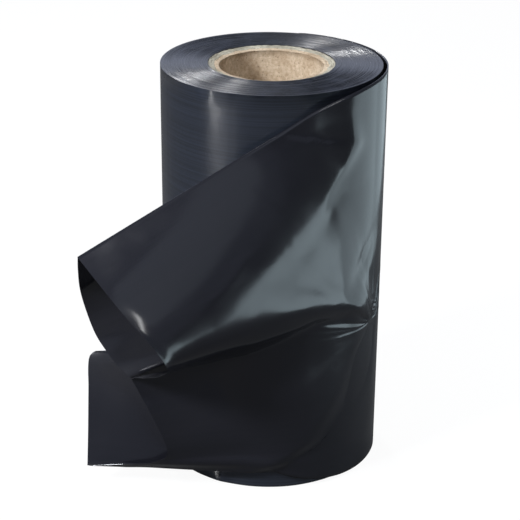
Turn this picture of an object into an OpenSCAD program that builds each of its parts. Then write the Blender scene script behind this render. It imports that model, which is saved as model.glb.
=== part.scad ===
// Roll of lay-flat film tubing, wound on a cardboard core and standing on its end.
// The tubing is one long flattened sleeve. Its free end is pulled round from the right,
// across the front of the roll, and its cut mouth stands open on the left.
// Origin: on the axis of the core, at its lower end. The roll's axis is +Z, the front is -Y.

/* [Roll] */
// Width of the flattened tubing, which is the height of the roll
web_w = 305; // [240:1:380]
// Outside diameter of the wound roll
roll_d = 160; // [140:1:200]
// Turns that one visible ring of the wound ends stands for
ring_w = 1.7; // [1.4:0.1:3]
// Depth of the grooves between the rings of the wound ends
ring_groove = 0.7; // [0.3:0.1:1.2]
// Most that a ring lies back from the roll's end
ring_wander = 0.5; // [0.1:0.1:1]
// Plain land at the rim of both wound ends
rim_land = 4; // [3:0.5:6]

/* [Core] */
// Bore of the core
core_bore_d = 76.2; // [70:0.1:80]
// Wall of the core
core_wall = 7.5; // [4:0.5:12]
// Depth of the core's upper end below the wound turns
core_recess = 1; // [0.5:0.5:8]
// Bevel worn on the core's outer edges
core_bevel = 0.6; // [0.2:0.1:1.5]

/* [Free end] */
// Thickness of one layer of film where it is drawn off the roll
layer_t = 0.4; // [0.3:0.05:0.45]
// Gap that the loose outer turn leaves at the right side of the roll
loose_gap = 2.3; // [1.5:0.1:4]
// Distance from the roll's axis to the far side of the open mouth
mouth_reach = 134; // [120:1:170]
// Angle, behind the right side, at which the outer turn starts to come away
loose_from = 75; // [60:1:100]
// How far the two edges of the film stay inside the roll's ends
edge_inset = 0.4; // [0.2:0.1:1]

/* [Hidden] */
$fn = 180;
roll_r = roll_d / 2;
bore_r = core_bore_d / 2;
core_r = bore_r + core_wall;
core_h = web_w - core_recess;

// The rails and creases below were laid out for film of this width on a roll of this radius,
// and follow both
drawn_w = 305;
drawn_r = 80;
mouth_scale = web_w / drawn_w;

// Rails that the film runs along, from the roll to the cut end, top fold first.
// Place of the cut end: right of the mouth's far side, forward of the roll, height;
// then where the rail leaves the roll: angle, height, climb, and the slack after it
FRONT = [
    [5, 38, 204, -74, 291, -0.55, 0.9],
    [25, 58, 187.5, -64, 268, -0.45, 1],
    [41.5, 68, 170, -52, 238, -0.35, 1],
    [54, 72, 155, -40, 200, -0.2, 1.05],
    [63.5, 70, 138, -28, 160, 0, 1.1],
    [64, 63, 129.5, -22, 138, 0.1, 1.1],
    [57.3, 49, 118, -19, 125, 0.15, 1.05],
    [46.6, 28, 105.5, -18, 116, 0.16, 1],
    [36.5, 12, 96.5, -18, 112, 0.17, 1],
    [40, 11, 87.5, -20, 105, 0.1, 1],
    [52, 13, 63, -34, 80, 0, 1],
    [60.5, 13, 40.5, -54, 48, 0, 0.95],
    [59, 11, 31.5, -60, 38, 0, 0.9],
    [32.5, 6, 23.5, -76, 24, 0, 0.9],
    [0.5, -2, 15.5, -86, 14, 0, 0.9]
];
BACK = [
    [5, 38, 204, -74, 291, -0.55, 0.9],
    [2, 15, 184, -82, 270, -0.5, 0.9],
    [0, -6, 158, -88, 240, -0.45, 0.9],
    [3, -14, 135, -88, 210, -0.4, 0.9],
    [9, -12, 119, -88, 186, -0.35, 0.9],
    [17, -7, 108, -88, 166, -0.3, 0.9],
    [25, -3, 98.5, -88, 150, -0.25, 0.9],
    [35, 1, 91, -88, 138, -0.25, 0.9],
    [27, -12, 92.5, -88, 133, -0.2, 0.9],
    [15, -27, 96, -88, 127, -0.15, 0.9],
    [6, -34, 95, -88, 118, -0.05, 0.9],
    [1, -33, 90, -88, 104, 0, 0.9],
    [0.5, -26, 68, -88, 70, 0, 0.9],
    [0.5, -14, 40, -88, 38, 0, 0.9],
    [0.5, -2, 15.5, -86, 14, 0, 0.9]
];

// Creases of the front layer: how wide each is, then points along it, each with how far
// the film stands out there. In turn: the main fold, from under the mouth to the pinch at
// the right, the hollow below it, the second fold under that, and the dent from the top edge
CREASES = [
    [9, [[-59, -142, 141, 0], [-6, -112, 153, 1.5], [22, -94, 154, 4], [51, -71, 149, 4.5],
         [67, -55, 140, 3.2], [80, -24, 121, 0]]],
    [8, [[-45, -125, 130, 0], [-13, -101, 124, -2], [8, -90, 125, -3.5],
         [56, -67, 127, -2.5], [76, -38, 117, -1], [81, -22, 113, 0]]],
    [9, [[76, -38, 113, 0], [65, -58, 105, 1.6], [32, -81, 89, 1.6], [-6, -87, 73, 1],
         [-71, -92, 43, 0]]],
    [7, [[57, -60, 302, 0], [54, -64, 286, 1.2], [38, -76, 237, 1.6], [11, -97, 198, 1],
         [-38, -129, 155, 0]]]
];

// Share of the film's width, measured round the mouth, at which each rail lies:
// closer together where the film folds back under itself
fold_from = 0.28;
fold_to = 0.66;
TOP_STEPS = 8;
FOLD_STEPS = 16;
LOW_STEPS = 10;
ACROSS = concat(
    [for (i = [0 : TOP_STEPS - 1]) fold_from * i / TOP_STEPS],
    [for (i = [0 : FOLD_STEPS - 1]) fold_from + (fold_to - fold_from) * i / FOLD_STEPS],
    [for (i = [0 : LOW_STEPS]) fold_to + (1 - fold_to) * i / LOW_STEPS]
);
across_n = len(ACROSS);
// Stations along the film, and the one at which the hollow between the layers starts
along_n = 36;
open_from = 10;
// Rails beside each fold that the hollow leaves out
fold_skip = 1;

// The two layers and the hollow between them, where they lie together
sleeve_t = 1.2;

// How far the outer turn dips into the roll where it starts, and its first steep rise.
// It reaches its full gap a little before the front, at loose_to
start_dip = 0.8;
start_rise = 1.7;
start_arc = 3;
loose_to = -10;
// Clearance that each layer keeps from the roll once it has left it, with its softness
front_clear = 3.5;
back_clear = -1;
soft = 2;
settle_share = 0.2;
// How late the outer turn climbs or drops to the height at which it leaves the roll
late = 8;
end_pull = 0.9;

function ease(u) = let (v = min(max(u, 0), 1)) v * v * (3 - 2 * v);
function hermite(a, ta, b, tb, u) =
    (2 * pow(u, 3) - 3 * pow(u, 2) + 1) * a + (pow(u, 3) - 2 * pow(u, 2) + u) * ta
    + (3 * pow(u, 2) - 2 * pow(u, 3)) * b + (pow(u, 3) - pow(u, 2)) * tb;

// Distance along the mouth's outline up to each of its points
function steps(rows) =
    [for (i = [1 : len(rows) - 1])
        norm([for (k = [0 : 2]) rows[i][k] - rows[i - 1][k]])];
function running(list, i, total) =
    i == len(list) ? [total] : concat([total], running(list, i + 1, total + list[i]));
function shares(rows) =
    let (far = running(steps(rows), 0, 0)) [for (d = far) d / far[len(far) - 1]];

// A rail's values at share t of the width, on a smooth curve through the rows
function lean(rows, at, k) =
    k == 0 ? (rows[1] - rows[0]) / (at[1] - at[0])
    : k == len(rows) - 1 ? (rows[k] - rows[k - 1]) / (at[k] - at[k - 1])
    : (rows[k + 1] - rows[k - 1]) / (at[k + 1] - at[k - 1]);
function row_at(rows, at, t) =
    let (i = max([for (k = [0 : len(at) - 2]) if (k == 0 || at[k] <= t) k]),
         h = at[i + 1] - at[i])
    hermite(rows[i], h * lean(rows, at, i), rows[i + 1], h * lean(rows, at, i + 1),
        (t - at[i]) / h);

// Radius of the loose outer turn at an angle round the roll
function turn_r(angle) =
    roll_r - start_dip + start_rise * ease((loose_from - angle) / start_arc)
    + (loose_gap + sleeve_t + start_dip - start_rise)
        * ease((loose_from - start_arc - angle) / (loose_from - start_arc - loose_to));

// One point of a rail: s runs from 0, inside the roll, to 1, at the cut end.
// off moves the rail towards the roll, which makes the back layer's face
function rail(row, web_z, s, off, clear) =
    let (end = [row[0] * mouth_scale - mouth_reach, -roll_r - row[1] * mouth_scale - off,
                row[2] * mouth_scale],
         r0 = turn_r(row[3]) + off,
         leave = [r0 * cos(row[3]), r0 * sin(row[3]), row[4] * mouth_scale],
         wound = r0 * (loose_from - row[3]) * PI / 180,
         free = norm(end - leave),
         part = wound / (wound + free))
    s <= part ? wound_point(row, web_z, s / part, off, leave[2])
    : free_point(row, leave, end, free, r0, (s - part) / (1 - part), clear);
function wound_point(row, web_z, u, off, leave_z) =
    let (angle = loose_from + (row[3] - loose_from) * u, r = turn_r(angle) + off)
    [r * cos(angle), r * sin(angle), web_z + (leave_z - web_z) * pow(u, late)];
function free_point(row, leave, end, free, r0, u, clear) =
    let (p = hermite(leave, [sin(row[3]), -cos(row[3]), row[5]] * free * row[6],
                     end, (end - leave) * end_pull, u),
         r = norm([p[0], p[1]]),
         blend = ease(u / settle_share),
         spare = r - r0 - clear * blend,
         pushed = r - spare / 2 + sqrt(pow(spare, 2) + pow(soft * blend, 2)) / 2)
    [p[0] * pushed / r, p[1] * pushed / r, p[2]];

function layer(rows, off, clear) =
    let (at = shares(rows), mine = [for (t = ACROSS) row_at(rows, at, t)])
    [for (i = [0 : along_n])
        [for (j = [0 : across_n - 1])
            rail(mine[j], edge_inset + (web_w - 2 * edge_inset) * (1 - ACROSS[j]),
                i / along_n, off, clear)]];

// Unit normal of a layer at a station and rail, out of the front of the sheet
function normal_at(face, i, j) =
    let (a = face[min(i + 1, along_n)][j] - face[max(i - 1, 0)][j],
         b = face[i][min(j + 1, across_n - 1)] - face[i][max(j - 1, 0)],
         c = cross(a, b))
    c / norm(c);

// Distance of a point from one stretch of a crease, and the crease's height there
function from_stretch(a, b, p) =
    let (way = [b[0] - a[0], b[1] - a[1], b[2] - a[2]],
         from = p - [a[0], a[1], a[2]],
         u = min(max(from * way / (way * way), 0), 1))
    [norm(from - u * way), a[3] + (b[3] - a[3]) * u];

// How far one crease lifts a point: most on its line, and less away from it
function lift(crease, p) =
    let (width = crease[0], spots = crease[1],
         near = [for (k = [1 : len(spots) - 1]) from_stretch(spots[k - 1], spots[k], p)],
         apart = min([for (n = near) n[0]]),
         height = [for (n = near) if (n[0] == apart) n[1]][0])
    height * exp(-pow(apart / width, 2));
function all_lifts(p) =
    let (q = [p[0] * drawn_r / roll_r, p[1] * drawn_r / roll_r, p[2] / mouth_scale])
    [for (crease = CREASES) lift(crease, q)] * [for (crease = CREASES) 1];
function creased(face) =
    [for (i = [0 : along_n])
        [for (j = [0 : across_n - 1])
            face[i][j] + all_lifts(face[i][j]) * normal_at(face, i, j)]];

// The sleeve is closed at the roll, and its hollow is open at the cut end.
// Each ring of points runs down the front layer and back up the back layer
module free_end() {
    front = creased(layer(FRONT, 0, front_clear));
    back = layer(BACK, -sleeve_t, back_clear);
    outer = [for (i = [0 : along_n]) concat(front[i],
        [for (j = [across_n - 1 : -1 : 0]) back[i][j]])];
    first = fold_skip;
    last = across_n - 1 - fold_skip;
    inner = [for (i = [open_from : along_n]) concat(
        [for (j = [first : last]) front[i][j] - layer_t * normal_at(front, i, j)],
        [for (j = [last : -1 : first]) back[i][j] + layer_t * normal_at(back, i, j)])];
    outer_n = 2 * across_n;
    half_in = last - first + 1;
    inner_n = 2 * half_in;
    start_in = outer_n * (along_n + 1);
    rows_in = along_n - open_from;
    mouth_out = outer_n * along_n;
    mouth_in = start_in + inner_n * rows_in;
    function out_id(i, j) = i * outer_n + j % outer_n;
    function in_id(i, j) = start_in + i * inner_n + j % inner_n;
    skin = [for (i = [0 : along_n - 1]) for (j = [0 : outer_n - 1])
        each [[out_id(i, j), out_id(i, j + 1), out_id(i + 1, j + 1)],
              [out_id(i, j), out_id(i + 1, j + 1), out_id(i + 1, j)]]];
    // The strip along the lower fold is split the other way, to keep clear of the front layer
    lining = [for (i = [0 : rows_in - 1]) for (j = [0 : inner_n - 1])
        each j == half_in - 1
            ? [[in_id(i, j), in_id(i + 1, j), in_id(i, j + 1)],
               [in_id(i, j + 1), in_id(i + 1, j), in_id(i + 1, j + 1)]]
            : [[in_id(i, j), in_id(i + 1, j + 1), in_id(i, j + 1)],
               [in_id(i, j), in_id(i + 1, j), in_id(i + 1, j + 1)]]];
    root = [for (j = [0 : across_n - 2])
        each [[j, outer_n - 1 - j, outer_n - 2 - j], [j, outer_n - 2 - j, j + 1]]];
    web = [for (j = [0 : half_in - 2])
        each [[in_id(0, j), in_id(0, inner_n - 2 - j), in_id(0, inner_n - 1 - j)],
              [in_id(0, j), in_id(0, j + 1), in_id(0, inner_n - 2 - j)]]];
    // The lip: two strips along the layers and one cap at each fold
    front_lip = [for (j = [0 : half_in - 2])
        each [[mouth_out + first + j, mouth_out + first + j + 1, mouth_in + j + 1],
              [mouth_out + first + j, mouth_in + j + 1, mouth_in + j]]];
    back_lip = [for (j = [0 : half_in - 2])
        each [[mouth_out + across_n + first + j, mouth_out + across_n + first + j + 1,
               mouth_in + half_in + j + 1],
              [mouth_out + across_n + first + j, mouth_in + half_in + j + 1,
               mouth_in + half_in + j]]];
    low_cap = concat([for (j = [last : across_n + first]) mouth_out + j],
        [mouth_in + half_in, mouth_in + half_in - 1]);
    top_cap = concat([for (j = [across_n + last : outer_n - 1]) mouth_out + j],
        [for (j = [0 : first]) mouth_out + j], [mouth_in, mouth_in + inner_n - 1]);
    polyhedron(points = concat([for (ring = outer) each ring], [for (ring = inner) each ring]),
        faces = concat(skin, lining, root, web, front_lip, back_lip,
            [low_cap], [top_cap]), convexity = 12);
}

// Half section of the wound film: rings of turns at both ends, each a little back
wound_w = roll_r - rim_land - core_r;
rings = floor(wound_w / ring_w);
ring_step = wound_w / rings;
groove_share = 0.25;
crest_share = 0.8;
scatter = 137.5;
// Every third ring reaches the roll's end, so that the roll stands on them
full_every = 3;
function set_back(k) =
    k % full_every == 0 ? 0 : ring_wander * (0.5 + 0.5 * sin(k * scatter));
function end_profile() = [for (k = [0 : rings - 1])
    let (r = core_r + k * ring_step, d = set_back(k))
    each [[r, d + (k == 0 ? 0 : ring_groove)], [r + ring_step * groove_share, d],
          [r + ring_step * crest_share, d]]];
module wound_roll() {
    low = concat(end_profile(), [[roll_r - rim_land, 0], [roll_r, 0]]);
    high = [for (k = [len(low) - 1 : -1 : 0]) [low[k][0], web_w - low[k][1]]];
    rotate_extrude() polygon(concat(low, high));
}

module core() {
    color("tan") rotate_extrude()
        polygon([
            [bore_r, 0], [core_r - core_bevel, 0], [core_r, core_bevel],
            [core_r, core_h - core_bevel], [core_r - core_bevel, core_h],
            [bore_r, core_h]
        ]);
}

module tubing() {
    color([0.09, 0.1, 0.12]) union() {
        wound_roll();
        free_end();
    }
}

core();
tubing();
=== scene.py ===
import math

import bmesh
import bpy
import numpy as np
from mathutils import Matrix, Vector, noise


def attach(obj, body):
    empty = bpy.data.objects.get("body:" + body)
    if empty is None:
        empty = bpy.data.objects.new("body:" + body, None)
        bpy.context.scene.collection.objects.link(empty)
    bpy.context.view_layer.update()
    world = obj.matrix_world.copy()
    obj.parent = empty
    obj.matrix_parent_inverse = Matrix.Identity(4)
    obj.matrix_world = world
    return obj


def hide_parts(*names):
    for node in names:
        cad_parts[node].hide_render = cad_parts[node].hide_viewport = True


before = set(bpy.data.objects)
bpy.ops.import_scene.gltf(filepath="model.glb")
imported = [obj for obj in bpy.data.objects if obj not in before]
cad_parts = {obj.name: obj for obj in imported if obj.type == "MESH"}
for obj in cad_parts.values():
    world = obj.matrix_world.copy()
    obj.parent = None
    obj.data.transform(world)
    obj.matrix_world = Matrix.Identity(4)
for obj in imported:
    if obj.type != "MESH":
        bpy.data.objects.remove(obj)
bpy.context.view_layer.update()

# The camera stands 1.1 m in front of the roll and 0.64 m up, looking down by 23.5 degrees, with a
# long lens and a slight tilt to the side.
camera_data = bpy.data.cameras.new("camera")
camera_data.sensor_width = 36
camera_data.lens = 112.51
camera = bpy.data.objects.new("camera", camera_data)
camera.matrix_world = (
    Matrix.Translation((-0.0070, -1.1224, 0.6374))
    @ Matrix.Rotation(math.radians(90 - 23.469), 4, "X")
    @ Matrix.Rotation(math.radians(0.558), 4, "Z")
)
bpy.context.scene.collection.objects.link(camera)
bpy.context.scene.camera = camera
bpy.context.scene.view_settings.view_transform = "Standard"

# The core is the board tube that the film is wound on, cut from a long spiral-wound one. Its cut
# end is worn down towards the bore, with uneven plies and a ragged torn fringe at the inner edge,
# and the seam of its inner ply runs down inside as a spiral.
bore, board_wall, core_height = 0.0381, 0.0075, 0.304
core_r = bore + board_wall
rim_edge, rim_wear = 0.0012, 0.0018
seam_pitch, seam_width, seam_step = 0.11, 0.0022, 0.0006


# A colour is an sRGB hex value, as it looks on a screen, and is turned to linear here.
def colour(code):
    parts = [int(code[i : i + 2], 16) / 255 for i in (0, 2, 4)]
    return [
        p / 12.92 if p <= 0.04045 else ((p + 0.055) / 1.055) ** 2.4 for p in parts
    ] + [1.0]


# A node is added with its settings, and with its inputs as values or as links.
def add_node(tree, kind, inputs=None, **settings):
    node = tree.nodes.new("ShaderNode" + kind)
    for name, value in settings.items():
        setattr(node, name, value)
    for name, value in (inputs or {}).items():
        if isinstance(value, bpy.types.NodeSocket):
            tree.links.new(value, node.inputs[name])
        else:
            node.inputs[name].default_value = value
    return node


def new_material(name):
    material = bpy.data.materials.new(name)
    material.use_nodes = True
    tree = material.node_tree
    tree.nodes.clear()
    return material, tree


# Kraft board, rolled from grey-brown recycled paper: short fibres of paler and darker tan, about
# 2 mm long, with small dark specks, and matt all over. The cut end of the wall is greyer, and
# shows its plies as rings. The scale of a noise is one over the size of its grain in metres.
def board_material(name, light, dark, fleck, plies):
    material, tree = new_material(name)
    place = add_node(tree, "TexCoord")
    fibres = add_node(
        tree,
        "TexNoise",
        {"Vector": place.outputs["Object"], "Scale": 420.0, "Detail": 5.0},
    )
    smudge = add_node(
        tree,
        "TexNoise",
        {"Vector": place.outputs["Object"], "Scale": 60.0, "Detail": 2.0},
    )
    mixed = add_node(
        tree,
        "Math",
        {0: fibres.outputs["Fac"], 1: smudge.outputs["Fac"]},
        operation="MULTIPLY",
    )
    tone = add_node(tree, "ValToRGB", {"Fac": mixed.outputs["Value"]})
    tone.color_ramp.elements[0].position = 0.14
    tone.color_ramp.elements[0].color = colour(dark)
    tone.color_ramp.elements[1].position = 0.4
    tone.color_ramp.elements[1].color = colour(light)
    specks = add_node(
        tree,
        "TexNoise",
        {"Vector": place.outputs["Object"], "Scale": 1100.0, "Detail": 1.0},
    )
    there = add_node(
        tree,
        "MapRange",
        {"Value": specks.outputs["Fac"], "From Min": 0.66, "From Max": 0.72},
    )
    paint = add_node(
        tree,
        "Mix",
        {
            "Factor": there.outputs["Result"],
            "A": tone.outputs["Color"],
            "B": colour(fleck),
        },
        data_type="RGBA",
    )
    result = paint.outputs["Result"]
    if plies:
        apart = add_node(tree, "SeparateXYZ", {"Vector": place.outputs["Object"]})
        flat = add_node(
            tree, "CombineXYZ", {"X": apart.outputs["X"], "Y": apart.outputs["Y"]}
        )
        radius = add_node(
            tree, "VectorMath", {0: flat.outputs["Vector"]}, operation="LENGTH"
        )
        rings = add_node(
            tree,
            "TexNoise",
            {"W": radius.outputs["Value"], "Scale": 1500.0, "Detail": 1.0},
            noise_dimensions="1D",
        )
        seam = add_node(
            tree,
            "MapRange",
            {
                "Value": rings.outputs["Fac"],
                "From Min": 0.52,
                "From Max": 0.62,
                "To Max": 0.45,
            },
        )
        ringed = add_node(
            tree,
            "Mix",
            {
                "Factor": seam.outputs["Result"],
                "A": paint.outputs["Result"],
                "B": colour(dark),
            },
            data_type="RGBA",
        )
        result = ringed.outputs["Result"]
    relief = add_node(
        tree,
        "Bump",
        {"Height": fibres.outputs["Fac"], "Strength": 0.6, "Distance": 0.00015},
    )
    skin = add_node(
        tree,
        "BsdfPrincipled",
        {
            "Base Color": result,
            "Roughness": 0.85,
            "Normal": relief.outputs["Normal"],
        },
    )
    add_node(tree, "OutputMaterial", {"Surface": skin.outputs["BSDF"]})
    return material


board = board_material("kraft_core_board", "d8c6ab", "ad9679", "6e5a45", False)
board_cut = board_material("cut_end_of_core_board", "c2bdaa", "928c7a", "6b6353", True)


def core_piece():
    # Sides around, and plies in the wall
    sides, plies = 288, 10
    mesh = bmesh.new()
    profile = []
    for k in range(plies):
        for part in (0.08, 0.92):
            profile.append((bore + board_wall * (k + part) / plies, core_height))
    outer = [(core_r, core_height - rim_edge), (core_r, rim_edge)]
    low = [(r, 0.0) for r, z in reversed(profile[:: plies - 1])]
    inner_height = core_height - rim_edge - 0.002
    inner = [(bore, rim_edge + inner_height * k / 60) for k in range(61)]
    points = profile + outer + low + inner
    ring = [mesh.verts.new((r, 0, z)) for r, z in points]
    edges = [
        mesh.edges.new((ring[i], ring[(i + 1) % len(ring)])) for i in range(len(ring))
    ]
    bmesh.ops.spin(
        mesh,
        geom=ring + edges,
        cent=(0, 0, 0),
        axis=(0, 0, 1),
        angle=math.tau,
        steps=sides,
        use_merge=True,
    )
    bmesh.ops.remove_doubles(mesh, verts=mesh.verts, dist=1e-6)
    for v in mesh.verts:
        r, angle = math.hypot(v.co.x, v.co.y), math.atan2(v.co.y, v.co.x)
        if v.co.z > core_height - 0.0005:
            ply = int((r - bore) / board_wall * plies)
            around = Vector(
                (math.cos(angle) * (3 + ply), math.sin(angle) * (3 + ply), ply * 1.7)
            )
            rough = noise.noise(around * 1.2) * 0.00035 + noise.noise(around * 9) * 0.0002
            v.co.z = core_height + rough - rim_wear * (core_r - r) / board_wall
            if ply == 0:
                v.co.z += 0.0004 * noise.noise(around * 22)
                pull = 1 - 0.0006 * (1 + noise.noise(around * 30)) / r
                v.co.x *= pull
                v.co.y *= pull
        elif r < bore + 0.0003:
            turn = (v.co.z / seam_pitch + angle / math.tau) % 1
            seam = math.exp(-(((turn - 0.5) * seam_pitch / seam_width) ** 2))
            soft = noise.noise(Vector((v.co.x, v.co.y, v.co.z)) * 60) * 0.00025
            push = 1 + (seam * seam_step + soft) / r
            v.co.x *= push
            v.co.y *= push
    bmesh.ops.recalc_face_normals(mesh, faces=mesh.faces)
    for face in mesh.faces:
        face.smooth = True
        centre = face.calc_center_median()
        face.material_index = int(centre.z > core_height - 0.0011 or centre.z < 0.0002)
    data = bpy.data.meshes.new("core_board")
    mesh.to_mesh(data)
    mesh.free()
    data.materials.append(board)
    data.materials.append(board_cut)
    piece = bpy.data.objects.new("core_board", data)
    bpy.context.scene.collection.objects.link(piece)
    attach(piece, "root")
    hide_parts("core")


core_piece()

# The wound film is all the turns of lay-flat sleeve on the core: black polyethylene, wound tight,
# with no glue. Its two ends are fine rings, each a few turns that stand a little higher or lower
# and lean to one side or the other. Its side is slightly uneven, and crumpled at the foot.
roll_r, web_w = 0.080, 0.305
crumple_x, crumple_low, crumple_top = -0.036, 0.0025, 0.0105
crumple_out, crumple_width = 0.0028, 0.007


# Blown black polyethylene: nearly black in itself, so that its look is all reflection, but for
# the painted sheen in the lighter colour of the wound turns. Faint die lines about 1 mm apart run
# along the web, and the gloss is a little uneven, as handled film's is. A sharp coat gives the
# mirror, and a rough anisotropic base under it a faint haze, which is stronger on the turns wound
# tight than on the loose end.
def film_material(name, rough, haze, streaks, dark, light):
    material, tree = new_material(name)
    web = add_node(tree, "UVMap", uv_map="web")
    place = add_node(tree, "TexCoord")
    lines = add_node(
        tree, "Mapping", {"Vector": web.outputs["UV"], "Scale": (2.0, 900.0, 1.0)}
    )
    die = add_node(
        tree,
        "TexNoise",
        {"Vector": lines.outputs["Vector"], "Scale": 1.0, "Detail": 3.0},
        noise_dimensions="2D",
    )
    cloud = add_node(
        tree,
        "TexNoise",
        {"Vector": place.outputs["Object"], "Scale": 38.0, "Detail": 4.0},
    )
    gloss = add_node(
        tree,
        "MapRange",
        {
            "Value": cloud.outputs["Fac"],
            "From Min": 0.3,
            "From Max": 0.7,
            "To Min": rough - 0.03,
            "To Max": rough + 0.05,
        },
    )
    tint = add_node(tree, "ValToRGB", {"Fac": die.outputs["Fac"]})
    tint.color_ramp.elements[0].position = 0.35
    tint.color_ramp.elements[0].color = colour(dark)
    tint.color_ramp.elements[1].position = 0.7
    tint.color_ramp.elements[1].color = colour(light)
    grain = add_node(
        tree,
        "TexNoise",
        {"Vector": place.outputs["Object"], "Scale": 900.0, "Detail": 2.0},
    )
    relief = add_node(
        tree,
        "Bump",
        {"Height": die.outputs["Fac"], "Strength": streaks, "Distance": 0.00004},
    )
    pimples = add_node(
        tree,
        "Bump",
        {
            "Height": grain.outputs["Fac"],
            "Normal": relief.outputs["Normal"],
            "Strength": 0.25,
            "Distance": 0.00002,
        },
    )
    length = add_node(tree, "Tangent", direction_type="UV_MAP", uv_map="web")
    skin = add_node(
        tree,
        "BsdfPrincipled",
        {
            "Base Color": tint.outputs["Color"],
            "Roughness": 0.38,
            "Specular IOR Level": haze,
            "IOR": 1.5,
            "Anisotropic": 0.9,
            "Anisotropic Rotation": 0.25,
            "Tangent": length.outputs["Tangent"],
            "Coat Weight": 1.0,
            "Coat IOR": 1.55,
            "Coat Roughness": gloss.outputs["Result"],
            "Coat Normal": pimples.outputs["Normal"],
            "Normal": pimples.outputs["Normal"],
        },
    )
    add_node(tree, "OutputMaterial", {"Surface": skin.outputs["BSDF"]})
    return material


# The turns on the roll get a lighter, bluer black than the loose film. This is painted sheen,
# standing in for light that the roll's side would mirror.
wound_film_painted_sheen = film_material(
    "black_polyethylene_film_wound_tight_painted_sheen", 0.17, 0.24, 0.6, "1f232a", "272c36"
)


# The folded edges of the turns, packed side by side: the same black film, but duller, with
# paler and darker bands of turns and here and there a bright nick.
def edge_material():
    material, tree = new_material("film_edges_of_the_turns")
    place = add_node(tree, "TexCoord")
    apart = add_node(tree, "SeparateXYZ", {"Vector": place.outputs["Object"]})
    flat = add_node(
        tree, "CombineXYZ", {"X": apart.outputs["X"], "Y": apart.outputs["Y"]}
    )
    radius = add_node(
        tree, "VectorMath", {0: flat.outputs["Vector"]}, operation="LENGTH"
    )
    turns = add_node(
        tree,
        "TexNoise",
        {"W": radius.outputs["Value"], "Scale": 1900.0, "Detail": 3.0},
        noise_dimensions="1D",
    )
    patches = add_node(
        tree,
        "TexNoise",
        {"Vector": place.outputs["Object"], "Scale": 90.0, "Detail": 3.0},
    )
    both = add_node(
        tree,
        "Math",
        {0: turns.outputs["Fac"], 1: patches.outputs["Fac"]},
        operation="MULTIPLY",
    )
    tone = add_node(tree, "ValToRGB", {"Fac": both.outputs["Value"]})
    tone.color_ramp.elements[0].position = 0.16
    tone.color_ramp.elements[0].color = colour("14161c")
    tone.color_ramp.elements[1].position = 0.42
    tone.color_ramp.elements[1].color = colour("31353f")
    nicks = add_node(
        tree,
        "TexNoise",
        {"Vector": place.outputs["Object"], "Scale": 700.0, "Detail": 1.0},
    )
    bright = add_node(
        tree,
        "MapRange",
        {"Value": nicks.outputs["Fac"], "From Min": 0.74, "From Max": 0.78},
    )
    paint = add_node(
        tree,
        "Mix",
        {
            "Factor": bright.outputs["Result"],
            "A": tone.outputs["Color"],
            "B": colour("8d9096"),
        },
        data_type="RGBA",
    )
    dull = add_node(
        tree,
        "MapRange",
        {
            "Value": turns.outputs["Fac"],
            "From Min": 0.3,
            "From Max": 0.7,
            "To Min": 0.24,
            "To Max": 0.4,
        },
    )
    relief = add_node(
        tree,
        "Bump",
        {"Height": turns.outputs["Fac"], "Strength": 0.3, "Distance": 0.0001},
    )
    around = add_node(tree, "Tangent", direction_type="RADIAL", axis="Z")
    skin = add_node(
        tree,
        "BsdfPrincipled",
        {
            "Base Color": paint.outputs["Result"],
            "Roughness": dull.outputs["Result"],
            "IOR": 1.5,
            "Anisotropic": 0.85,
            "Anisotropic Rotation": 0.25,
            "Tangent": around.outputs["Tangent"],
            "Normal": relief.outputs["Normal"],
        },
    )
    add_node(tree, "OutputMaterial", {"Surface": skin.outputs["BSDF"]})
    return material


film_edges = edge_material()


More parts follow.
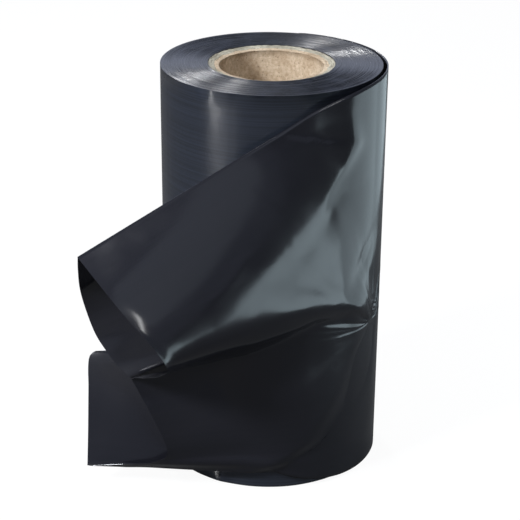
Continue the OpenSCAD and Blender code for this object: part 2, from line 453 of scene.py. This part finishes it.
def wound_piece():
    inner, outer, height = core_r, roll_r, web_w
    # Sides around, and bands of turns at the top end and at the foot
    sides, fine, coarse = 384, 66, 24
    width = outer - inner

    def rings(count):
        spots = []
        for k in range(count):
            spots.append(inner + width * (k + 0.12) / count)
            spots.append(inner + width * (k + 0.62) / count)
        return spots

    mesh = bmesh.new()
    points = [(inner, height - 0.001)]
    points += [(r, height) for r in rings(fine)]
    points += [(outer, z) for z in np.linspace(height - 0.0006, 0.018, 24)]
    points += [(outer, z) for z in np.linspace(0.0166, 0.0006, 14)]
    points += [(r, 0.0) for r in reversed(rings(coarse))]
    points += [(inner, 0.001)]
    ring = [mesh.verts.new((r, 0, z)) for r, z in points]
    edges = [
        mesh.edges.new((ring[i], ring[(i + 1) % len(ring)])) for i in range(len(ring))
    ]
    bmesh.ops.spin(
        mesh,
        geom=ring + edges,
        cent=(0, 0, 0),
        axis=(0, 0, 1),
        angle=math.tau,
        steps=sides,
        use_merge=True,
    )
    bmesh.ops.remove_doubles(mesh, verts=mesh.verts, dist=1e-7)
    for v in mesh.verts:
        r, angle = math.hypot(v.co.x, v.co.y), math.atan2(v.co.y, v.co.x)
        way = Vector((math.cos(angle), math.sin(angle), 0))
        if inner + 1e-5 < r < outer - 1e-5:
            top = v.co.z > height / 2
            count = fine if top else coarse
            place = (r - inner) / width * count
            k, crest = int(place), place % 1
            lift = 0.0002 * noise.noise(Vector((k * 5.3, 0, 2.0)))
            lift += 0.00008 * noise.noise(way * 2.5 + Vector((0, 0, k * 0.9)))
            lean = noise.noise(way * 1.6 + Vector((0, 0, k * 2.7)))
            step = (0.00004 + 0.00005 * lean) * (1 if crest > 0.4 else -1)
            edge = min(1, (outer - r) / 0.004)
            drop = 0.0005 - (lift + step) * edge
            v.co.z = height - drop if top else min(drop, 0.0008)
        elif r > outer - 1e-5:
            wave = 0.00022 * noise.noise(way * 3 + Vector((0, 0, v.co.z * 9)))
            wave += 0.00006 * noise.noise(way * 14 + Vector((0, 0, v.co.z * 3)))
            if v.co.y < 0 and v.co.z < crumple_top:
                slope = (crumple_top - v.co.z) / (crumple_top - crumple_low)
                slope = min(slope, v.co.z / crumple_low)
                from_middle = (v.co.x - crumple_x) / crumple_width
                wave += crumple_out * slope * math.exp(-(from_middle**2))
            push = 1 - (0.0003 - wave) / r
            v.co.x *= push
            v.co.y *= push
    bmesh.ops.recalc_face_normals(mesh, faces=mesh.faces)
    for edge in mesh.edges:
        a, b = (math.hypot(v.co.x, v.co.y) for v in edge.verts)
        if max(a, b) < outer - 0.0004 and abs(a - b) < 1e-5:
            edge.smooth = False
    web = mesh.loops.layers.uv.new("web")
    for face in mesh.faces:
        face.smooth = True
        centre = face.calc_center_median()
        face.material_index = int(abs(face.normal.z) > 0.3)
        for loop in face.loops:
            angle = math.atan2(loop.vert.co.y, loop.vert.co.x)
            if angle < math.atan2(centre.y, centre.x) - math.pi:
                angle += math.tau
            loop[web].uv = (angle * outer, loop.vert.co.z)
    data = bpy.data.meshes.new("wound_film")
    mesh.to_mesh(data)
    mesh.free()
    data.materials.append(wound_film_painted_sheen)
    data.materials.append(film_edges)
    piece = bpy.data.objects.new("wound_film", data)
    bpy.context.scene.collection.objects.link(piece)
    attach(piece, "root")
    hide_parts("tubing")
    return piece


wound = wound_piece()

# The loose outer turn and the free end are one sleeve of two layers, of the same film. It comes
# off the roll at the right, crosses the front, folds back under itself, and stands open at its
# cut end. Its rails and creases are laid out in millimetres.
film = film_material("black_polyethylene_film", 0.15, 0.04, 0.1, "191a1f", "1c1c22")
# The film's thickness, in metres
film_thickness = 0.00015
# How far left of the axis the mouth stands, and the angle at which the loose turn starts
reach, start = 134.0, 75.0
# Where the fold meets the roll, how far its fine creases reach, and the gap kept to the roll
pinch = np.array([75.6, -37.7, 117.0])
fan_reach, roll_gap = 120, 1.6


def sleeve_grid(back):
    roll, web = roll_r * 1000, web_w * 1000
    # The cut end: right of the mouth's far side, forward of the roll, height; then where
    # the rail leaves the roll: angle, height, climb, and the slack after it
    front_rows = [
        [4, 38, 202, -74, 290, -0.55, 0.9],
        [24, 58, 185.5, -64, 267, -0.45, 1],
        [40.5, 68, 168.5, -52, 238, -0.35, 1],
        [53.5, 72, 154, -40, 200, -0.2, 1.05],
        [63.5, 70, 138, -28, 160, 0, 1.1],
        [64, 63, 129.5, -22, 138, 0.1, 1.1],
        [57.3, 49, 118, -19, 125, 0.15, 1.05],
        [46.6, 28, 105.5, -18, 116, 0.16, 1],
        [36.5, 12, 96.5, -18, 112, 0.17, 1],
        [40, 11, 87.5, -20, 105, 0.1, 1],
        [52, 13, 63, -34, 80, 0, 1],
        [60.5, 13, 40.5, -54, 48, 0, 0.95],
        [59, 11, 31.5, -60, 38, 0, 0.9],
        [32.5, 6, 23.5, -76, 24, 0, 0.9],
        [0.5, -2, 17.6, -86, 16, 0, 0.9],
    ]
    back_rows = [
        [4, 38, 202, -74, 290, -0.55, 0.9],
        [1, 15, 182.5, -82, 270, -0.5, 0.9],
        [-0.5, -6, 157, -88, 240, -0.45, 0.9],
        [3, -14, 135, -88, 210, -0.4, 0.9],
        [9, -12, 119, -88, 186, -0.35, 0.9],
        [17, -7, 108, -88, 166, -0.3, 0.9],
        [25, -3, 98.5, -88, 150, -0.25, 0.9],
        [35, 1, 91, -88, 138, -0.25, 0.9],
        [27, -12, 92.5, -88, 133, -0.2, 0.9],
        [15, -27, 96, -88, 127, -0.15, 0.9],
        [6, -34, 95, -88, 118, -0.05, 0.9],
        [1, -33, 90, -88, 104, 0, 0.9],
        [0.5, -26, 68, -88, 70, 0, 0.9],
        [0.5, -14, 40, -88, 38, 0, 0.9],
        [0.5, -2, 17.6, -86, 16, 0, 0.9],
    ]
    rows = np.array(back_rows if back else front_rows, float)
    # The back layer winds 0.9 mm inside the front one. Once a layer has left the roll, it stays
    # at least this far outside the radius that it left at.
    off = -0.9 if back else 0.0
    clear = -1.0 if back else 3.5

    far = np.cumsum([0, *np.linalg.norm(np.diff(rows[:, :3], axis=0), axis=1)])
    far = far / far[-1]
    lean = np.gradient(rows, axis=0) / np.gradient(far)[:, None]
    lean[1:-1] = (rows[2:] - rows[:-2]) / (far[2:] - far[:-2])[:, None]
    lean[0] = (rows[1] - rows[0]) / (far[1] - far[0])
    lean[-1] = (rows[-1] - rows[-2]) / (far[-1] - far[-2])

    def blend(a, ta, b, tb, u):
        return (
            (2 * u**3 - 3 * u**2 + 1) * a
            + (u**3 - 2 * u**2 + u) * ta
            + (3 * u**2 - 2 * u**3) * b
            + (u**3 - u**2) * tb
        )

    def ease(u):
        v = np.clip(u, 0, 1)
        return v * v * (3 - 2 * v)

    # The loose turn's radius: a step of 1.1 mm at its start, and 3.5 mm off the roll at its end
    def turn(angle):
        rise = 0.2 + 0.9 * ease((start - angle) / 3)
        return roll + rise + 2.4 * ease((start - 3 - angle) / (start + 7))

    across = np.concatenate(
        [
            np.linspace(0, 0.28, 34, endpoint=False),
            np.linspace(0.28, 0.66, 62, endpoint=False),
            np.linspace(0.66, 1, 35),
        ]
    )
    along = np.concatenate(
        [np.linspace(0, 0.36, 34, endpoint=False), np.linspace(0.36, 1, 112)]
    )
    grid = np.zeros((len(along), len(across), 3))
    webs = np.zeros((len(along), len(across), 2))
    for j, t in enumerate(across):
        i = min(max(int(np.searchsorted(far, t, side="right")) - 1, 0), len(far) - 2)
        h = far[i + 1] - far[i]
        row = blend(rows[i], h * lean[i], rows[i + 1], h * lean[i + 1], (t - far[i]) / h)
        web_z = 0.4 + (web - 0.8) * (1 - t)
        end = np.array([row[0] - reach, -roll - row[1] - off, row[2]])
        phi = math.radians(row[3])
        r0 = turn(row[3]) + off
        leave = np.array([r0 * math.cos(phi), r0 * math.sin(phi), row[4]])
        wound_mm = r0 * math.radians(start - row[3])
        free_mm = np.linalg.norm(end - leave)
        part = wound_mm / (wound_mm + free_mm)
        for n, s in enumerate(along):
            webs[n, j] = s * (wound_mm + free_mm), (t if back else -t) * web
            if s <= part:
                angle = start + (row[3] - start) * s / part
                r = turn(angle) + off
                a = math.radians(angle)
                z = web_z + (leave[2] - web_z) * (s / part) ** 8
                grid[n, j] = r * math.cos(a), r * math.sin(a), z
                continue
            u = (s - part) / (1 - part)
            away = np.array([math.sin(phi), -math.cos(phi), row[5]]) * free_mm * row[6]
            p = blend(leave, away, end, (end - leave) * 0.9, u)
            r = math.hypot(p[0], p[1])
            settle = ease(u / 0.2)
            spare = r - r0 - clear * settle
            pushed = r - spare / 2 + math.hypot(spare, 2 * settle) / 2
            grid[n, j] = p[0] * pushed / r, p[1] * pushed / r, p[2]
    return grid / 1000, webs / 1000


def push_out(grid, creases):
    # Moves the sheet along its own normal near each crease, which has a width, a second width
    # on the side that its direction points to, and its points, each with the push there.
    normal = np.cross(np.gradient(grid, axis=0), np.gradient(grid, axis=1))
    normal /= np.linalg.norm(normal, axis=2)[:, :, None]
    total = np.zeros(grid.shape[:2])
    for width, second, side, points in creases:
        spots = np.array(points, float)
        nearest = np.full(grid.shape[:2], 1e9)
        push = np.zeros(grid.shape[:2])
        wide = np.zeros(grid.shape[:2], bool)
        for a, b in zip(spots[:-1], spots[1:]):
            way = b[:3] - a[:3]
            u = np.clip(((grid - a[:3]) @ way) / (way @ way), 0, 1)
            from_line = grid - (a[:3] + u[:, :, None] * way)
            apart = np.linalg.norm(from_line, axis=2)
            closer = apart < nearest
            nearest = np.where(closer, apart, nearest)
            push = np.where(closer, a[3] + (b[3] - a[3]) * u, push)
            wide = np.where(closer, from_line @ np.array(side) > 0, wide)
        spread = np.where(wide, second, width)
        total += push * np.exp(-((nearest / spread) ** 2))
    return grid + normal * total[:, :, None]


# The creases that the pull and the fold put into the front layer, then the fan of fine ones at
# the pinch, then the curl of the cut edge. The grid comes and goes in millimetres.
def crease_front(front):
    fold_top = [
        (-59, -142, 141, 0), (-6, -112, 151, 0.6), (22, -94, 152, 1.6), (51, -71.5, 147, 2),
        (66.6, -54.7, 138, 1.8), (77, -33, 126, 0.8), (80, -24, 121, 0),
    ]
    fold_under = [
        (-45, -125, 130, 0), (-13, -101, 126, -1.6), (8, -90, 130, -3), (33, -81, 133, -3.6),
        (55.6, -67, 131, -3.4), (66, -57, 126, -2.6), (75.6, -37.7, 118, -1.4),
        (81, -22, 113, 0),
    ]
    second_fold = [
        (75.7, -37.5, 113, 0), (64.6, -58.4, 105, 0.5), (32.2, -81, 89.3, 0.6),
        (-5.5, -87, 73, 0.6), (-49.2, -89, 51.9, 0.5), (-71, -92.5, 42.8, 0),
    ]
    low_roll = [
        (-130, -77, 18, 1.2), (-109.5, -77, 20, 1.5), (-86, -87.6, 25, 2), (-58, -87, 26, 2.2),
        (-27, -86.6, 26, 2), (-1, -87, 25, 1.6), (17, -82, 24, 1), (40, -72, 22, 0),
    ]
    dent = [
        (57, -60, 302, 0.4), (54, -64, 286, 1), (57, -61, 265, 2.2), (48, -68, 252, 2.8),
        (38, -76, 237, 2.6), (24, -87, 211, 1.8), (10.7, -97, 198, 1.2), (-5, -108, 184, 0.6),
        (-23.5, -120, 166, 0.3), (-37.7, -129, 155, 0),
    ]
    straight = [
        (-14, -108, 203, 0), (-16.2, -109.8, 201, 0.3), (-21.6, -114, 192.4, 0.4),
        (-28.4, -119, 184, 0.3), (-37.8, -125.6, 175, 0.2), (-41, -128, 171, 0),
    ]
    by_pinch = [
        (75, -36, 198, 0), (72, -42, 182, -0.9), (67, -52, 169, -1.2), (60, -63, 157, -0.8),
        (55, -69, 148, 0),
    ]
    ray_1 = [(62, -58, 160, 0), (69, -49, 145, 1.1), (75, -38, 126, 0.9), (78, -32, 119, 0)]
    ray_2 = [(49, -73, 150, 0), (62, -60, 139, 1), (73, -42, 123, 0.9), (78, -32, 118, 0)]
    by_roll = [
        (16, -84, 90, 0), (40, -77, 93, -1.2), (58, -64, 95, -2.3), (71, -46, 94, -2.5),
        (80, -26, 90, 0),
    ]
    up, down, left = (0, 0, 1), (0, 0, -1), (-1, 0, 0)
    shaped = push_out(
        front,
        [
            (6, 14, up, fold_top),
            (7, 40, down, fold_under),
            (9, 14, down, second_fold),
            (5, 5, up, low_roll),
            (8, 36, left, dent),
            (8, 8, left, by_pinch),
            (18, 30, down, by_roll),
            (3, 3, up, ray_1),
            (3, 3, up, ray_2),
            (3.5, 3.5, up, straight),
        ],
    )
    # Creases fan out from the pinch at the right, where the fold meets the roll.
    rows, cols = shaped.shape[:2]
    fan = np.zeros((rows, cols))
    for i in range(rows):
        for j in range(cols):
            x, y, z = shaped[i, j]
            apart = math.dist(shaped[i, j], pinch)
            if apart > fan_reach or y > -10:
                continue
            arc = math.hypot(x - pinch[0], y - pinch[1])
            turn = math.atan2(z - pinch[2], arc)
            fade = min(1, apart / 10) * math.exp(-apart / 34)
            fade *= 0.15 + 0.85 / (1 + math.exp(-(turn - 0.1) * 14))
            fan[i, j] = fade * (
                1.5 * noise.noise(Vector((turn * 9, 1.5, apart / 90)))
                + 0.8 * noise.noise(Vector((turn * 22, 7.5, apart / 60)))
            )
            fan[i, j] += 0.35 * noise.noise(Vector((x, y, z)) / 26) * min(1, i / 60)
    away = np.cross(np.gradient(shaped, axis=0), np.gradient(shaped, axis=1))
    away /= np.linalg.norm(away, axis=2)[:, :, None]
    shaped = shaped + away * fan[:, :, None]
    # The cut edge curls outwards over its last few millimetres, most near the mouth's middle.
    curl = np.clip((np.arange(rows) - (rows - 6)) / 5, 0, 1) ** 2
    most = 0.1 + 1.9 * np.exp(-(((np.arange(cols) / (cols - 1) - 0.27) / 0.13) ** 2))
    shaped = shaped + away * (curl[:, None] * most)[:, :, None]
    # All but the start of the turn is kept clear of the roll.
    radius = np.hypot(shaped[:, :, 0], shaped[:, :, 1])
    keep = np.maximum(radius, roll_r * 1000 + roll_gap) / radius
    keep[: rows // 8] = 1
    shaped[:, :, :2] *= keep[:, :, None]
    return shaped


def free_piece():
    front, front_web = sleeve_grid(False)
    back, back_web = sleeve_grid(True)
    front = crease_front(front * 1000) / 1000
    rows, cols = front.shape[:2]
    ring = np.concatenate([front, back[:, ::-1]], axis=1)
    webs = np.concatenate([front_web, back_web[:, ::-1]], axis=1)
    around = 2 * cols
    mesh = bmesh.new()
    bmesh.ops.create_grid(mesh, x_segments=around, y_segments=rows - 1, size=0.5)
    mesh.verts.ensure_lookup_table()
    web = mesh.loops.layers.uv.new("web")
    spots = {}
    for v in mesh.verts:
        i = round((v.co.y + 0.5) * (rows - 1))
        j = round((v.co.x + 0.5) * around)
        spots[v.index] = (i, j)
    for v in mesh.verts:
        i, j = spots[v.index]
        v.co = ring[i, j % around]
    for face in mesh.faces:
        face.smooth = True
        for loop in face.loops:
            i, j = spots[loop.vert.index]
            loop[web].uv = webs[i, j % around]
    bmesh.ops.remove_doubles(mesh, verts=mesh.verts, dist=1e-7)
    bmesh.ops.recalc_face_normals(mesh, faces=mesh.faces)
    for edge in mesh.edges:
        edge.smooth = not edge.is_boundary
    data = bpy.data.meshes.new("free_end")
    mesh.to_mesh(data)
    mesh.free()
    data.materials.append(film)
    piece = bpy.data.objects.new("free_end", data)
    bpy.context.scene.collection.objects.link(piece)
    wall = piece.modifiers.new("film", "SOLIDIFY")
    wall.thickness = film_thickness
    wall.offset = -1
    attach(piece, "root")
    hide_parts("tubing")


free_piece()


# The floor shows the camera a white that hardly takes a shadow. What the film mirrors of it is
# a dim grey.
def floor_piece():
    mesh = bmesh.new()
    bmesh.ops.create_grid(mesh, x_segments=2, y_segments=2, size=6)
    data = bpy.data.meshes.new("floor")
    mesh.to_mesh(data)
    mesh.free()
    material, tree = new_material("pale_floor")
    path = add_node(tree, "LightPath")
    seen = add_node(
        tree,
        "Math",
        {0: path.outputs["Is Glossy Ray"], 1: 0.04},
        operation="MULTIPLY",
    )
    lift = add_node(
        tree,
        "Math",
        {0: path.outputs["Is Camera Ray"], 1: 0.94, 2: seen.outputs["Value"]},
        operation="MULTIPLY_ADD",
    )
    skin = add_node(tree, "BsdfDiffuse", {"Color": colour("4d4d4d")})
    glow = add_node(
        tree, "Emission", {"Color": (1, 1, 1, 1), "Strength": lift.outputs["Value"]}
    )
    both = add_node(
        tree, "AddShader", {0: skin.outputs["BSDF"], 1: glow.outputs["Emission"]}
    )
    add_node(tree, "OutputMaterial", {"Surface": both.outputs["Shader"]})
    data.materials.append(material)
    floor = bpy.data.objects.new("floor", data)
    bpy.context.scene.collection.objects.link(floor)


floor_piece()


# Two small lamps high behind the roll draw the rays on the wound end. A key stands at the front
# left. The film mirrors a wide dim panel in front and low cool ones at the right. Two more lamps
# give the glints on the lip and at the foot.
def lamp(name, place, aim, size, radiance, code):
    data = bpy.data.lights.new(name, "AREA")
    data.shape = "RECTANGLE"
    data.size, data.size_y = size
    data.energy = radiance * math.pi * size[0] * size[1]
    data.color = colour(code)[:3]
    light = bpy.data.objects.new(name, data)
    light.location = place
    light.visible_camera = False
    light.rotation_euler = (
        (Vector(aim) - Vector(place)).to_track_quat("-Z", "Y").to_euler()
    )
    bpy.context.scene.collection.objects.link(light)


lamp("ray_lamp_a", (-0.31, 1.07, 1.59), (0, 0, 0.3), (0.13, 0.13), 90, "ffffff")
lamp("ray_lamp_b", (-0.425, 1.39, 1.19), (0, 0, 0.3), (0.13, 0.13), 90, "ffffff")
lamp("backdrop", (0, 1.9, 0.82), (0, 0, 0.3), (2.6, 0.5), 0.7, "dde6ff")
lamp("key", (-1.05, -0.85, 1.05), (0, 0, 0.2), (0.32, 0.32), 92, "f6f8ff")
lamp("above", (-0.1, 0.1, 1.9), (0, 0, 0), (1.2, 1.2), 0.7, "ffffff")
lamp("front", (0.65, -2.5, 1.75), (-0.05, -0.1, 0.2), (2.0, 2.6), 0.32, "e6f0ff")
lamp("lip_lamp", (0.81, -0.86, 1.13), (-0.09, -0.15, 0.17), (0.8, 0.1), 12, "ffffff")
lamp("foot_lamp", (-0.88, -0.60, 0.055), (-0.04, -0.07, 0.01), (0.16, 0.09), 16, "ffffff")
lamp("right_low", (0.38, -0.27, 0.05), (0, -0.27, 0.05), (0.38, 0.10), 3.9, "c9dde6")
lamp("right_high", (0.38, 0.06, 0.12), (0, 0.06, 0.12), (0.28, 0.24), 1.9, "c9dde6")
lamp("right_far", (0.38, 0.45, 0.10), (0, 0.45, 0.10), (0.50, 0.20), 1.2, "c9dde6")


# The camera sees the room as white, and everything else as dim and a little blue.
def room_light():
    world = bpy.data.worlds.new("room")
    world.use_nodes = True
    tree = world.node_tree
    tree.nodes.clear()
    path = add_node(tree, "LightPath")
    level = add_node(
        tree,
        "MapRange",
        {"Value": path.outputs["Is Camera Ray"], "To Min": 0.22, "To Max": 1.0},
    )
    tint = add_node(
        tree,
        "Mix",
        {
            "Factor": path.outputs["Is Camera Ray"],
            "A": colour("dfe8ff"),
            "B": colour("ffffff"),
        },
        data_type="RGBA",
    )
    air = add_node(
        tree,
        "Background",
        {"Color": tint.outputs["Result"], "Strength": level.outputs["Result"]},
    )
    add_node(tree, "OutputWorld", {"Surface": air.outputs["Background"]})
    bpy.context.scene.world = world


room_light()
